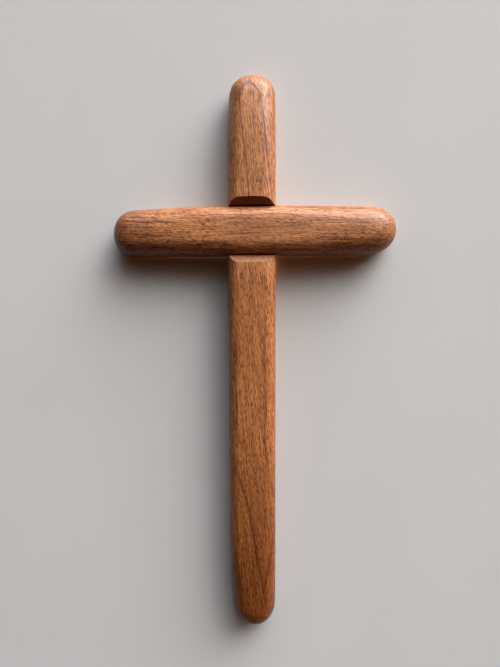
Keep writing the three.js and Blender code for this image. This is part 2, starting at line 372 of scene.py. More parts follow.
@dataclass
class Grain:
    """A board's colour in the making, and where in the board each spot of it lies.

    Places are in millimetres from the crossing and the front face. The thread is the place
    across that rings and fibres follow, and the slant is the one that flecks follow. Lines
    that are drawn waver with the ripple, and show by the share that is near the face.
    """

    shop: FinishShop
    seed: float
    along: Amount
    across: Amount
    behind: Amount
    thread: Amount
    slant: Amount
    faces_along: Amount
    ripple: Number = 0.0
    near_face: Number = 1.0
    colour: Plug = (*WHITE, 1.0)

    def pattern(self, size: Triple, side: Amount | None = None,
                shift: float = 0.0) -> bpy.types.NodeSocket:
        """The place in a pattern that runs with the fibres."""
        where = (self.along, side or self.across, self.behind)
        return self.shop.pattern(where, size, self.seed + shift)

    def noise(self, size: Triple, side: Amount | None = None, detail: float = 2.0,
              shift: float = 0.0) -> Amount:
        """Cloudy noise that runs with the fibres.

        Args:
            size: How long, wide and deep its features are.
            side: The place across that they follow, or None for straight across.
            detail: How many times finer noise is laid over it.
            shift: How far along it starts, besides the board's own seed.

        Returns:
            The noise, around 0.5.
        """
        return self.shop.noise(self.pattern(size, side, shift), detail)

    def lay(self, share: Number, code: str) -> None:
        """Lays a tone over the board's colour."""
        self.colour = self.shop.blend(share, self.colour, tone(code))

    def stain(self, share: Number, tint: Colour) -> None:
        """Multiplies the board's colour by a tint."""
        self.colour = self.shop.blend(share, self.colour, tint, Layer.STAIN)


@dataclass(frozen=True)
class Beech:
    """Oiled beech as a solid: rings, ray flecks and fibres run right through the board.

    A size is a length along the fibres, a width and a depth in millimetres. A pair goes from
    where something starts to where it is full, or has a line's middle and half width.
    """

    name: str
    run: Run
    crossing_height: float
    thickness: float
    seed: float = 0.0

    pale: str = "cd8953"
    deep: str = "6c3415"
    fleck: str = "4e2006"
    ring: str = "6c3526"

    lean: float = 0.108
    fleck_lean: float = 0.108
    wander: float = 1.6
    wander_size: Triple = (48.0, 15.0, 15.0)

    paleness: float = 0.68
    contrast: float = 0.92
    streak_size: Triple = (50.0, 1.4, 3.0)
    streak_part: float = 0.85
    cloud_size: Triple = (34.0, 13.0, 13.0)
    cloud_part: float = 0.2
    fibre_size: Triple = (15.0, 0.46, 1.0)
    fibre_part: float = 0.7
    hair_size: Triple = (2.4, 0.42, 0.8)
    hair_part: float = 0.6
    fibre_span: Pair = (0.3, 0.7)

    fleck_size: Triple = (3.8, 0.5, 1.1)
    fleck_reach: Pair = (0.42, 0.15)
    fleck_luck: Pair = (0.0, 0.9)
    fleck_share: float = 0.8
    fine_size: Triple = (3.4, 0.4, 0.9)
    fine_shift: float = 7.3
    fine_span: Pair = (0.54, 0.68)
    fine_share: float = 0.8

    pith_ahead: float = 23.0
    pith_across: float = 6.5
    ring_spacing: float = 1.9
    ring_share: float = 0.25
    ring_ripple: float = 0.35
    ring_ripple_size: Triple = (22.0, 6.0, 6.0)
    ring_late: Pair = (0.35, 0.95)
    ring_edge: Pair = (1.0, 0.95)
    ring_length: float = 70.0
    ring_slice: float = 0.5
    ring_strength: Pair = (0.3, 0.75)

    shaded_end_span: Pair = (-0.25, -0.85)
    end_ring_share: float = 0.3
    end_grain_shade_tint: Colour = (0.74, 0.55, 0.5, 1.0)

    rough: float = 0.42
    fibre_rough: float = 0.08
    fleck_rough: float = 0.1
    fibre_relief: float = 0.5
    fleck_relief: float = 0.9
    fine_relief: float = 0.4
    relief: float = 0.06 * MM

    def material(self) -> bpy.types.Material:
        """Builds the finish.

        Returns:
            The node material.
        """
        shop = FinishShop.for_material(self.name)
        grain = self._grain(shop)
        end = grain.faces_along.rise(*self.shaded_end_span)
        reach, luck = shop.cells(grain.pattern(self.fleck_size, grain.slant))
        flecks = reach.rise(*self.fleck_reach) * luck.rise(*self.fleck_luck)
        fine = grain.noise(self.fine_size, grain.slant, detail=1.0, shift=self.fine_shift)
        fine = fine.rise(*self.fine_span)
        hair = grain.noise(self.hair_size, grain.slant, detail=1.0).rise(*self.fibre_span)
        fibre = grain.noise(self.fibre_size, grain.thread).rise(*self.fibre_span)
        streak = grain.noise(self.streak_size, grain.thread)
        cloud = grain.noise(self.cloud_size)

        body = ((streak - 0.5) * self.streak_part + (cloud - 0.5) * self.cloud_part
                + (fibre - 0.5) * self.fibre_part + (hair - 0.5) * self.hair_part)
        body = body * self.contrast + self.paleness
        grain.colour = shop.blend(body, tone(self.deep), tone(self.pale))
        ring_share = end * self.end_ring_share + self.ring_share
        grain.lay(self._rings(grain) * ring_share, self.ring)
        grain.lay(fine * self.fine_share, self.fleck)
        grain.lay(flecks * self.fleck_share, self.fleck)
        # Darkens the end grain that faces down on the staff and left on the crossbar: end grain
        # is darker, and picking only the ends that face away from the light adds painted shade.
        grain.stain(end, self.end_grain_shade_tint)
        self.figure(grain)

        relief = fibre * self.fibre_relief - flecks * self.fleck_relief - fine * self.fine_relief
        roughness = (fibre - 0.5) * self.fibre_rough + flecks * self.fleck_rough + self.rough
        shop.finish(shop.node("ShaderNodeBsdfPrincipled", {
            "Base Color": grain.colour,
            "Roughness": roughness,
            "Normal": shop.bump(relief, self.relief, strength=1.0),
        }))
        return shop.material

    def figure(self, grain: Grain) -> None:
        """Draws the marks that only this board has. A plain board has none."""

    def _grain(self, shop: FinishShop) -> Grain:
        """Finds the place of each spot in the board.

        Args:
            shop: The tree that is being built.

        Returns:
            The places.
        """
        x, y, z = shop.place()
        facing = shop.coordinates("Normal")
        height = z - self.crossing_height / MM
        behind = y + self.thickness / MM
        upright = self.run is Run.UPRIGHT
        along, across = (height, x) if upright else (x, height)
        place = shop.pattern((along, across, behind), self.wander_size, self.seed)
        wander = (shop.noise(place) - 0.5) * self.wander
        return Grain(
            shop, self.seed, along, across, behind,
            thread=across + along * self.lean + wander,
            slant=across + along * self.fleck_lean + wander,
            faces_along=facing[2 if upright else 0],
        )

    def _rings(self, grain: Grain) -> Amount:
        """The year rings round a pith that lies in front of the board.

        Args:
            grain: The board's places.

        Returns:
            The share of late wood.
        """
        ripple = grain.noise(self.ring_ripple_size, grain.thread) - 0.5
        radius = (grain.thread - self.pith_across).long_side(grain.behind + self.pith_ahead)
        turn = (radius + ripple * self.ring_ripple) / self.ring_spacing
        phase = turn.fraction()
        strength = grain.shop.noise(grain.shop.pattern(
            (grain.along, turn, self.ring_slice), (self.ring_length, 1.0, 1.0)), detail=1.0)
        late = phase.rise(*self.ring_late) * phase.rise(*self.ring_edge)
        return late * strength.rise(*self.ring_strength)


@dataclass(frozen=True)
class Arch:
    """A year ring that the front face lays open as an arch on two straight legs."""

    centre: float
    half: float
    shoulder: float
    rise: float
    line: float
    ripple: float
    lean: float = 0.0
    lean_from: float = 52.0

    def side(self, grain: Grain) -> Amount:
        """How far each spot is to the right of the arch's middle."""
        upright = grain.across + (grain.along - self.lean_from) * self.lean
        return upright - self.centre + grain.ripple * self.ripple

    def drawn(self, grain: Grain) -> Amount:
        """The arch's line, as a share.

        Args:
            grain: The board's places.

        Returns:
            The share, which is 1 along the middle of the line.
        """
        over = (grain.along - self.shoulder).most(0.0) / self.rise
        span = (self.side(grain) / self.half).long_side(over) * self.half
        return span.line(self.half, self.line)


@dataclass(frozen=True)
class StaffBeech(Beech):
    """The staff's board: two arches above the crossing and a long V near the foot."""

    near_face: Pair = (15.0, 8.0)
    ripple_size: Triple = (9.0, 4.0, 9.0)

    arch_tone: str = "5f2a20"
    arch_fade: Pair = (14.0, 24.0)
    large_arch: Arch = Arch(centre=0.9, half=5.7, shoulder=62.0, rise=12.2, line=0.7,
                            ripple=0.5, lean=0.108)
    worn_size: Triple = (5.0, 2.0, 9.0)
    worn_shift: float = 3.1
    worn_span: Pair = (0.25, 0.55)
    worn_share: Pair = (0.6, 1.0)
    right_leg: Pair = (-3.0, 3.0)
    right_leg_share: Pair = (0.65, 0.95)
    small_arch: Arch = Arch(centre=8.9, half=2.4, shoulder=60.0, rise=7.8, line=0.6, ripple=0.6)
    small_arch_fade: Pair = (46.0, 58.0)
    small_arch_share: float = 0.4
    patch_height: float = 70.0
    patch_across: float = -8.0
    patch_lean: float = 0.4
    patch_half: Pair = (2.2, 7.0)
    patch_fade: Pair = (1.1, 0.2)
    patch_share: float = 0.4

    side_fade: Pair = (-36.0, -60.0)
    right_line: Pair = (6.8, 1.3)
    right_bend_from: float = -100.0
    right_bend: float = 0.0028
    left_line: Pair = (-8.0, 1.3)
    left_fade: Pair = (-118.0, -100.0)
    side_share: float = 0.4

    vee_tip: float = -196.1
    vee_across: float = 6.2
    vee_ripple: float = 0.8
    vee_slope: float = 0.165
    vee_bend_from: float = -155.0
    vee_bend: float = 0.0045
    vee_fade: Pair = (-116.0, -132.0)
    vee_line: float = 1.2
    vee_share: float = 0.6
    vee_inside: float = 0.16

    below_crossing_shade_span: Pair = (-16.0, -26.0)
    below_crossing_shade_tint: Colour = (0.87, 0.8, 0.72, 1.0)
    foot_shade_span: Pair = (-85.0, -212.0)
    foot_shade_share: float = 0.78
    tip_shade_span: Pair = (-204.0, -217.0)
    tip_shade_share: float = 0.14
    foot_shade_tint: Colour = (0.42, 0.26, 0.04, 1.0)

    shoulder_span: Pair = (18.0, 17.0)
    shoulder_facing: Pair = (0.4, 0.6)
    down_chamfer_shade_tint: Colour = (0.62, 0.4, 0.3, 1.0)
    open_grain: str = "664436"
    open_grain_share: float = 0.6
    tear_lean: float = 1.6
    tear_size: Triple = (0.8, 2.5, 1.0)
    tear_span: Pair = (0.5, 0.65)
    tear_share: float = 0.5

    def figure(self, grain: Grain) -> None:
        """Draws the arches, the lines, the V, the painted shade below the crossing and towards
        the foot, and the shoulders.

        Args:
            grain: The board's places and its colour so far.
        """
        grain.ripple = grain.noise(self.ripple_size) - 0.5
        grain.near_face = grain.behind.rise(*self.near_face)
        self._arches(grain)
        self._side_lines(grain)
        self._vee(grain)
        # Painted shade: the staff below the crossing is made darker and warmer, for the light and
        # sheen it gets less of than the upper arm.
        grain.stain(grain.along.rise(*self.below_crossing_shade_span), self.below_crossing_shade_tint)
        # Painted shade: darker and less blue towards the foot and most at the tip, standing in
        # for less light and no sheen there.
        foot_shade = (grain.along.rise(*self.foot_shade_span) * self.foot_shade_share
                + grain.along.rise(*self.tip_shade_span) * self.tip_shade_share)
        grain.stain(foot_shade, self.foot_shade_tint)
        self._shoulders(grain)

    def _arches(self, grain: Grain) -> None:
        """Draws the two arches above the crossing and the patch beside them.

        Args:
            grain: The board's places and its colour so far.
        """
        above = grain.along.rise(*self.arch_fade) * grain.near_face
        tone_unevenness = grain.noise(self.worn_size, shift=self.worn_shift).rise(*self.worn_span)
        right_leg = self.large_arch.side(grain).rise(*self.right_leg)
        large = (self.large_arch.drawn(grain) * tone_unevenness.between(*self.worn_share)
                 * right_leg.between(*self.right_leg_share))
        small = self.small_arch.drawn(grain) * grain.along.rise(*self.small_arch_fade)
        up = grain.along - self.patch_height
        wide, tall = self.patch_half
        side = grain.across - self.patch_across + up * self.patch_lean
        patch = (side / wide).long_side(up / tall).rise(*self.patch_fade)
        grain.lay(above * large, self.arch_tone)
        grain.lay(above * small * self.small_arch_share, self.arch_tone)
        grain.lay(above * patch * self.patch_share, self.arch_tone)

    def _side_lines(self, grain: Grain) -> None:
        """Draws the soft line on each side between the crossing and the V.

        Args:
            grain: The board's places and its colour so far.
        """
        bent = (grain.along - self.right_bend_from).least(0.0)
        right = grain.across - bent * bent * self.right_bend + grain.ripple
        left = (grain.across + grain.ripple).line(*self.left_line)
        left = left * grain.along.rise(*self.left_fade)
        midway = grain.along.rise(*self.side_fade) * grain.near_face
        both = right.line(*self.right_line).most(left)
        grain.lay(midway * both * self.side_share, self.deep)

    def _vee(self, grain: Grain) -> None:
        """Draws the long V near the foot, and darkens what lies inside it.

        Args:
            grain: The board's places and its colour so far.
        """
        bent = (grain.along - self.vee_bend_from).most(0.0)
        edge = (abs(grain.across - self.vee_across + grain.ripple * self.vee_ripple)
                - (grain.along - self.vee_tip) * self.vee_slope - bent * bent * self.vee_bend)
        below = grain.along.rise(*self.vee_fade) * grain.near_face
        grain.lay(below * edge.line(0.0, self.vee_line) * self.vee_share, self.fleck)
        grain.lay(below * edge.rise(0.0, -self.vee_line) * self.vee_inside, self.ring)

    def _shoulders(self, grain: Grain) -> None:
        """Tints the end grain of the two chamfers: the upper one dark, partly as painted shade
        since it faces down, the lower one pale.

        Args:
            grain: The board's places and its colour so far.
        """
        start, full = self.shoulder_facing
        close = abs(grain.along).rise(*self.shoulder_span)
        under = close * grain.faces_along.rise(-start, -full)
        upper = close * grain.faces_along.rise(start, full)
        slant = grain.thread + grain.along * self.tear_lean
        tears = grain.shop.noise(grain.shop.pattern((slant, grain.along, 0.0), self.tear_size))
        # Partly painted shade: the down-facing chamfer's end grain is darkened beyond its own
        # tone.
        grain.stain(under, self.down_chamfer_shade_tint)
        grain.lay(upper * self.open_grain_share, self.open_grain)
        grain.lay(upper * tears.rise(*self.tear_span) * self.tear_share, self.deep)


@dataclass(frozen=True)
class CrossbarBeech(Beech):
    """The crossbar's board: a dark streak left of the staff and pores at the left end."""

    seed: float = 31.0
    pale: str = "ca8652"
    deep: str = "683616"
    lean: float = 0.01
    fleck_lean: float = 0.18
    contrast: float = 1.22
    fleck_size: Triple = (4.4, 0.5, 1.1)
    fine_size: Triple = (2.8, 0.4, 0.9)
    pith_ahead: float = 40.0
    pith_across: float = -4.0
    ring_spacing: float = 0.9

    torn_size: Triple = (6.0, 1.2, 3.0)
    torn_depth: float = 2.0
    torn_span: Pair = (0.3, 0.6)
    dark_streak: Pair = (-5.8, 2.2)
    dark_streak_left: Pair = (-40.0, -28.0)
    dark_streak_right: Pair = (-6.0, -14.0)
    dark_streak_share: float = 0.85
    pore_tone: str = "4a2212"
    pore_size: Triple = (0.9, 0.9, 0.9)
    pore_reach: Pair = (0.45, 0.2)
    pore_luck: Pair = (0.35, 0.6)
    pore_fade: Pair = (-58.0, -68.0)
    pore_share: float = 0.6
    middle_shade_along: Pair = (0.0, 17.0)
    middle_shade_across: Pair = (-1.0, 9.0)
    middle_shade_share: float = 0.3
    left_end_dark: Pair = (-64.0, 20.0)
    left_end_dark_share: float = 0.9
    right_end_dark: Pair = (60.0, 76.0)
    right_end_dark_share: float = 0.35
    end_dark_tint: Colour = (0.62, 0.56, 0.56, 1.0)

    def figure(self, grain: Grain) -> None:
        """Draws the streak and the pores, paints shade on the middle of the face under the
        staff's upper arm, and darkens the ends.

        Args:
            grain: The board's places and its colour so far.
        """
        along, across, shop = grain.along, grain.across, grain.shop
        where = (along, across, grain.behind)
        torn = shop.noise(shop.pattern(where, self.torn_size), detail=3.0)
        streak = ((across + torn * self.torn_depth).line(*self.dark_streak)
                  * (along.rise(*self.dark_streak_left) * along.rise(*self.dark_streak_right)))
        grain.lay(streak * torn.rise(*self.torn_span) * self.dark_streak_share, self.fleck)
        dots, luck = shop.cells(shop.pattern(where, self.pore_size))
        pores = (dots.rise(*self.pore_reach) * luck.rise(*self.pore_luck)
                 * along.rise(*self.pore_fade))
        grain.lay(pores * self.pore_share, self.pore_tone)
        # Painted shade: the middle of the crossbar's face, below the staff's upper arm, is
        # darkened.
        middle_shade = along.line(*self.middle_shade_along) * across.line(*self.middle_shade_across)
        grain.lay(middle_shade * self.middle_shade_share, self.deep)
        # Darker towards both ends: at the left end, which faces away from the light, this is
        # painted shade; the right tip is darkened less.
        tone_unevenness = (along.line(*self.left_end_dark) * self.left_end_dark_share
                + along.rise(*self.right_end_dark) * self.right_end_dark_share)
        grain.stain(tone_unevenness, self.end_dark_tint)


@dataclass(frozen=True)
class Steel:
    """Plated steel with fine drawn scratches and a cloudy passivated film."""

    name: str
    pale: str = "c9ccd0"
    deep: str = "8f949a"
    rough: float = 0.34
    cloud_size: Triple = (3.0, 3.0, 3.0)
    cloud_span: Pair = (0.3, 0.7)
    cloud_rough: float = 0.2
    scratch_size: Triple = (0.12, 0.12, 9.0)
    scratch_rough: float = 0.15
    spot: str = "6d6a62"
    spot_size: Triple = (1.3, 1.3, 1.3)
    spot_reach: Pair = (0.3, 0.1)
    spot_luck: Pair = (0.7, 0.9)
    spot_share: float = 0.35
    relief: float = 0.02 * MM
    relief_strength: float = 0.6

    def material(self) -> bpy.types.Material:
        """Builds the finish.

        Returns:
            The node material.
        """
        shop = FinishShop.for_material(self.name)
        where = shop.place()
        cloud = shop.noise(shop.pattern(where, self.cloud_size), detail=3.0)
        scratches = shop.noise(shop.pattern(where, self.scratch_size))
        reach, luck = shop.cells(shop.pattern(where, self.spot_size))
        spots = reach.rise(*self.spot_reach) * luck.rise(*self.spot_luck)
        colour = shop.blend(cloud.rise(*self.cloud_span), tone(self.deep), tone(self.pale))
        colour = shop.blend(spots * self.spot_share, colour, tone(self.spot))
        roughness = (cloud - 0.5) * self.cloud_rough + (scratches - 0.5) * self.scratch_rough
        relief = (scratches + cloud) / 2
        shop.finish(shop.node("ShaderNodeBsdfPrincipled", {
            "Base Color": colour,
            "Metallic": 1.0,
            "Roughness": roughness + self.rough,
            "Normal": shop.bump(relief, self.relief, self.relief_strength),
        }))
        return shop.material


# Bench work


def put_down() -> None:
    """Leaves edit mode and deselects everything."""
    if bpy.context.mode != "OBJECT":
        bpy.ops.object.mode_set(mode="OBJECT")
    bpy.ops.object.select_all(action="DESELECT")


def pick_up(piece: bpy.types.Object) -> None:
    """Selects one object alone and makes it active, outside edit mode.

    Args:
        piece: The object.
    """
    put_down()
    bpy.context.view_layer.objects.active = piece
    piece.select_set(True)


def settle() -> None:
    """Moves the place, turn and scale of the selected object into its mesh."""
    bpy.ops.object.transform_apply(location=True, rotation=True, scale=True)


class Part(Enum):
    """What a selection picks out of a mesh."""

    POINTS = "VERT"
    EDGES = "EDGE"
    FACES = "FACE"


class Blank:
    """One mesh on the bench, shaped in edit mode the way a hand would do it."""

    def __init__(self, name: str) -> None:
        """Takes the primitive that was just added, puts its place in its mesh and opens it.

        Args:
            name: The new object's name.
        """
        self.piece = bpy.context.object
        self.piece.name = name
        self.piece.data.name = name
        settle()
        self.open()

    @classmethod
    def block(cls, name: str, low: Sequence[float], high: Sequence[float]) -> "Blank":
        """Starts from a cube that fills a box.

        Args:
            name: The new object's name.
            low: The box's lowest corner.
            high: Its highest corner.

        Returns:
            The blank, open for edits.
        """
        put_down()
        centre = [(a + b) / 2 for a, b in zip(low, high)]
        size = [b - a for a, b in zip(low, high)]
        bpy.ops.mesh.primitive_cube_add(size=1, location=centre, scale=size)
        return cls(name)

    @classmethod
    def rod(cls, name: str, radius: float, nearest: float, farthest: float, height: float,
            sides: int = 48) -> "Blank":
        """Starts from a cylinder along Y.

        Args:
            name: The new object's name.
            radius: The cylinder's radius.
            nearest: Where it starts in front of the back plane.
            farthest: Where it ends in front of the back plane.
            height: The height of its axis.
            sides: How many faces go round it.

        Returns:
            The blank, open for edits.
        """
        put_down()
        bpy.ops.mesh.primitive_cylinder_add(
            vertices=sides, radius=radius, depth=farthest - nearest,
            location=(0, -(nearest + farthest) / 2, height),
            rotation=(math.pi / 2, math.pi / sides, 0),
        )
        return cls(name)

    def open(self) -> None:
        """Puts the piece in edit mode with nothing selected."""
        pick_up(self.piece)
        bpy.ops.object.mode_set(mode="EDIT")
        bpy.ops.mesh.select_all(action="DESELECT")

    def close(self) -> bpy.types.Object:
        """Leaves edit mode and gives back the object."""
        put_down()
        return self.piece

    def _choose(self, kind: Part, test: Callable[..., bool]) -> None:
        """Selects the points, edges or faces that pass a test.

        Args:
            kind: What to select.
            test: The test of one of them.
        """
        bpy.ops.mesh.select_mode(type=kind.value)
        mesh = bmesh.from_edit_mesh(self.piece.data)
        parts = {Part.POINTS: mesh.verts, Part.EDGES: mesh.edges, Part.FACES: mesh.faces}[kind]
        chosen = [part for part in parts if test(part)]
        for part in parts:
            part.select_set(False)
        for part in chosen:
            part.select_set(True)
        if kind is Part.POINTS:
            mesh.select_flush_mode()
        bmesh.update_edit_mesh(self.piece.data)

    def points(self, test: Callable[[Vector], bool]) -> None:
        """Selects the points that pass a test on their place."""
        self._choose(Part.POINTS, lambda vert: test(vert.co))

    def edges(self, test: Callable[[bmesh.types.BMEdge], bool]) -> None:
        """Selects the edges that pass a test."""
        self._choose(Part.EDGES, test)

    def faces(self, test: Callable[[bmesh.types.BMFace], bool]) -> None:
        """Selects the faces that pass a test."""
        self._choose(Part.FACES, test)

    def saw(self, places: Iterable[float], normal: Triple,
            test: Callable[[bmesh.types.BMFace], bool] | None = None) -> None:
        """Marks a line over the piece at each distance along a normal.

        Args:
            places: The distances.
            normal: The direction that they are measured in.
            test: Which faces to mark, or None for a loop right round the piece.
        """
        for place in places:
            if test is None:
                bpy.ops.mesh.select_all(action="SELECT")
            else:
                self.faces(test)
            centre = [place * part for part in normal]
            bpy.ops.mesh.bisect(plane_co=centre, plane_no=normal)

    def scale(self, value: Triple, centre: Triple) -> None:
        """Scales what is selected about a centre."""
        bpy.ops.transform.resize(value=value, center_override=centre)

    def swell(self, share: float, height: float) -> None:
        """Widens what is selected by a share, about an axis along Y at a height."""
        self.scale((share, 1, share), (0, 0, height))

    def move(self, value: Triple) -> None:
        """Moves what is selected."""
        bpy.ops.transform.translate(value=value)

    def front_face(self) -> None:
        """Selects the faces that look straight to the front."""
        self.faces(lambda face: face.normal.y < FACES_FRONT)

    def draw_out(self, length: float) -> None:
        """Draws the selected faces out to the front."""
        bpy.ops.mesh.extrude_region_move(TRANSFORM_OT_translate={"value": (0, -length, 0)})

    def weld(self) -> None:
        """Merges points that have met."""
        bpy.ops.mesh.select_mode(type="VERT")
        bpy.ops.mesh.select_all(action="SELECT")
        bpy.ops.mesh.remove_doubles(threshold=TOUCHING)

    def soften(self, width: float, sharpest: float, segments: int = 2,
               test: Callable[[bmesh.types.BMEdge], bool] | None = None) -> None:
        """Eases the sharp edges.

        Args:
            width: How wide the eased edge is.
            sharpest: Edges that turn by more degrees than this are eased.
            segments: How many strips the eased edge has.
            test: Which of those edges to ease, or None for all.
        """
        limit = math.radians(sharpest)
        self.edges(lambda edge: edge.is_manifold and edge.calc_face_angle(0.0) > limit
                   and (test is None or test(edge)))
        bpy.ops.mesh.bevel(offset=width, segments=segments, affect="EDGES", clamp_overlap=True)

    def modify(self, kind: str, **settings: object) -> None:
        """Adds a modifier, sets it and applies it.

        Args:
            kind: The modifier's type.
            settings: Its properties.
        """
        pick_up(self.piece)
        modifier = self.piece.modifiers.new(kind.title(), kind)
        for name, value in settings.items():
            setattr(modifier, name, value)
        bpy.ops.object.modifier_apply(modifier=modifier.name)
        self.open()

    def cut(self, *cutters: "Blank") -> None:
        """Cuts other blanks out of this one, and clears them away.

        Args:
            cutters: The other blanks.
        """
        for cutter in cutters:
            tool = cutter.piece
            self.modify("BOOLEAN", operation="DIFFERENCE", solver="EXACT", object=tool)
            bpy.data.objects.remove(tool)


@dataclass(frozen=True)
class Finish:
    """How a finished piece joins the frame."""

    node: str
    slot: str
    material: bpy.types.Material
    smooth_angle: float = 30.0

    def dress(self, blank: Blank) -> None:
        """Smooths the piece, gives it its material and seats it in the frame.

        Args:
            blank: The finished piece.
        """
        piece = blank.close()
        pick_up(piece)
        bpy.ops.object.shade_smooth_by_angle(angle=math.radians(self.smooth_angle))
        weighted = piece.modifiers.new("Weighted", "WEIGHTED_NORMAL")
        weighted.keep_sharp = True
        bpy.ops.object.modifier_apply(modifier=weighted.name)
        piece.data.materials.clear()
        piece.data.materials.append(self.material)
        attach(piece, BODY)
        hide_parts(self.node)
        log.info("%s stands for %s: %d faces", piece.name, self.node, len(piece.data.polygons))


# The two bars


@dataclass(frozen=True)
class End:
    """The dome that closes a bar, and what hand sanding has taken off before it.

    Each edge is drawn in over its reach, the front face falls away over the fall's reach, and
    its crown is full up to one distance from the tip and is the arm's own from another.
    """

    dome: float
    squareness: float
    high_draw: float
    high_reach: float
    low_draw: float
    low_reach: float
    fall: float
    fall_reach: float
    crown: float
    crown_from: float
    crown_to: float
    draw_curve: float = 1.25

    def share(self, tip: float) -> float:
        """The share of the full width that the outline has at a distance from the tip."""
        inside = clamp(1 - tip / self.dome)
        return (1 - inside ** self.squareness) ** (1 / self.squareness)

    def drawn(self, amount: float, reach: float, tip: float) -> float:
        """How far an edge is drawn in at a distance from the tip."""
        return amount * (1 - clamp(tip / reach)) ** self.draw_curve

    def fallen(self, tip: float) -> float:
        """How far the front face has fallen away at a distance from the tip."""
        return self.fall * (1 - clamp(tip / self.fall_reach)) ** 2


@dataclass(frozen=True)
class Bar:
    """A hand-sanded bar along X, crossed at x = 0, before its joint is cut."""

    name: str
    low_arm: float
    high_arm: float
    width: float
    thickness: float
    low_end: End
    high_end: End
    low_round: float
    shoulder_round: float
    high_round: float
    crown: float
    end_round: float = 8 * MM
    back_round: float = 3.4 * MM
    back_end_round: float = 4.6 * MM
    round_growth: float = 34 * MM
    round_segments: int = 10
    shoulder: float = 13 * MM
    shoulder_growth: float = 55 * MM
    front_limit: float = 0.5
    back_limit: float = 0.35
    dome_steps: int = 16
    fan_length: float = 20 * MM
    fan_centre: float = 3 * MM
    fine_step: float = 2.5 * MM
    fine_reach: float = 64 * MM
    arm_step: float = 9 * MM
    lap_half: float = 12 * MM
    lap_clear: float = 20 * MM
    back_zone: float = 6 * MM
    outline_room: float = 0.1 * MM

    def tips(self) -> tuple[tuple[End, float, int], ...]:
        """Each end with the place of its tip and the way inward from there."""
        return (self.low_end, -self.low_arm, 1), (self.high_end, self.high_arm, -1)

    def ends(self, x: float) -> tuple[tuple[End, float], ...]:
        """Each end with its tip's distance from a place along the bar."""
        return (self.low_end, x + self.low_arm), (self.high_end, self.high_arm - x)

    def nearer_end(self, x: float) -> tuple[End, float]:
        """The nearer end of the bar, and the distance to its tip."""
        return min(self.ends(x), key=lambda pair: pair[1])

    def stations(self) -> list[float]:
        """Places along the bar where its outline is set, close together at the domes.

        Returns:
            The places, from the low end to the high end.
        """
        places = [-self.lap_half, self.lap_half]
        quarter = math.pi / 2 / self.dome_steps
        for end, tip, inward in self.tips():
            near = [end.dome * (1 - math.cos(quarter * i)) for i in range(1, self.dome_steps + 1)]
            arm = abs(tip) - self.lap_clear
            for step, until in ((self.fine_step, self.fine_reach), (self.arm_step, arm)):
                while near[-1] + step < until:
                    near.append(near[-1] + step)
            places += [tip + inward * d for d in near if d < arm] + [tip + inward * arm]
        return sorted(places)

    def outline(self, x: float) -> tuple[float, float]:
        """The bar's outline seen from the front.

        Args:
            x: The place along the bar.

        Returns:
            The outline's middle and the share of the bar's width that it has.
        """
        ends = self.ends(x)
        low = sum(end.drawn(end.low_draw, end.low_reach, tip) for end, tip in ends)
        high = sum(end.drawn(end.high_draw, end.high_reach, tip) for end, tip in ends)
        share = math.prod(end.share(tip) for end, tip in ends)
        return (low - high) / 2, share * (self.width - low - high) / self.width

    def on_outline(self, place: Vector) -> bool:
        """True for a point of the outline, and not for the middle of a fan."""
        middle, share = self.outline(place.x)
        return abs(abs(place.z - middle) - share * self.width / 2) < self.outline_room

    def fall(self, x: float) -> float:
        """How far the middle of the front face has fallen away at a place along the bar."""
        end, tip = self.nearer_end(x)
        return end.fallen(tip)

    def rim_drop(self, x: float) -> float:
        """How much lower than its middle the crowned front is at its edges."""
        end, tip = self.nearer_end(x)
        return between(end.crown, self.crown, ease(end.crown_from, end.crown_to, tip))

    def rim(self, x: float) -> float:
        """How thick the bar is at its edges at a place along it."""
        return self.thickness - self.fall(x) - self.rim_drop(x)

    def near_end(self, x: float) -> float:
        """The share of the end's rounding that an edge has at a place along the bar."""
        return 1 - ease(0.0, self.round_growth, self.nearer_end(x)[1])

    def front_round(self, x: float) -> float:
        """The radius of the long front edges at a place along the bar.

        Args:
            x: The place along the bar.

        Returns:
            The radius.
        """
        below = ease(self.shoulder, self.shoulder + self.shoulder_growth, -x)
        lower = between(self.shoulder_round, self.low_round, below)
        arm = between(lower, self.high_round, ease(-self.shoulder, self.shoulder, x))
        wanted = between(arm, self.end_round, self.near_end(x))
        return min(wanted, self.front_limit * self.rim(x))

    def back_edge_round(self, x: float) -> float:
        """The radius of the long back edges at a place along the bar."""
        wanted = between(self.back_round, self.back_end_round, self.near_end(x))
        return min(wanted, self.back_limit * self.rim(x))

    def make(self) -> Blank:
        """Saws the blank, draws in its outline, rounds its edges and crowns its front.

        Returns:
            The bar along X, open for edits.
        """
        half = self.width / 2
        bar = Blank.block(self.name, (-self.low_arm, -self.thickness, -half),
                          (self.high_arm, 0, half))
        stations = self.stations()
        bar.saw(stations, (1, 0, 0))
        for x in [-self.low_arm, *stations, self.high_arm]:
            middle, share = self.outline(x)
            bar.points(lambda p: abs(p.x - x) < TOUCHING)
            bar.scale((1, 1, share), (x, 0, 0))
            bar.move((0, 0, middle))
            bar.points(lambda p: abs(p.x - x) < TOUCHING and p.y < -half / 2)
            bar.move((0, self.fall(x), 0))
        bar.weld()
        self._fan_domes(bar)
        self._round_edges(bar)
        self._crown_front(bar)
        return bar

    def _fan_domes(self, bar: Blank) -> None:
        """Turns the cross lines of each dome into a fan of spokes, which the rounding follows.

        Args:
            bar: The bar, open for edits.
        """

        def across(edge: bmesh.types.BMEdge) -> bool:
            """True for a line straight across a dome's front or back."""
            a, b = (vert.co for vert in edge.verts)
            return (abs(a.x - b.x) < TOUCHING and abs(a.y - b.y) < TOUCHING
                    and self.nearer_end(a.x)[1] < self.fan_length)

